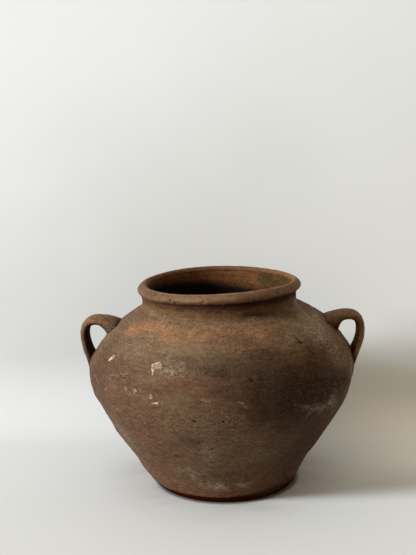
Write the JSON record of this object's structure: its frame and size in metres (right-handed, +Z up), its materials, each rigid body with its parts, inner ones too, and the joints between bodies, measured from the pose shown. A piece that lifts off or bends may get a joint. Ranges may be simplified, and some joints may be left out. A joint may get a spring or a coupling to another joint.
{
  "type": "two-handled urn",
  "caption": "Squat round-bellied earthenware urn with a narrow flat foot, wide mouth, everted rim and strap handles on the shoulder.",
  "frame": {"origin": "centre of the flat underside that the urn stands on", "axes": "+Z up along the turning axis to the mouth, +X through the middle of the right handle"},
  "size_m": [0.348, 0.324, 0.25],
  "materials": {
    "foot_clay": "bare red-brown fired clay, matt",
    "wall_clay": "unglazed brown earthenware, smoked and mottled, matt",
    "neck_clay": "unglazed brown earthenware, matt",
    "rim_clay": "unglazed brown earthenware, worn a little smooth",
    "inner_clay": "raw unglazed inside, matt",
    "handle_clay": "unglazed brown earthenware, polished a little by hands"
  },
  "bodies": {
    "root": {"floor_disc": "foot_clay", "lower_wall": "wall_clay", "upper_wall": "wall_clay", "neck_collar": "neck_clay", "rim_lip": "rim_clay", "floor_corner_coil": "inner_clay", "belly_seam_coil": "inner_clay", "right_handle": "handle_clay", "left_handle": "handle_clay"}
  },
  "joints": []
}
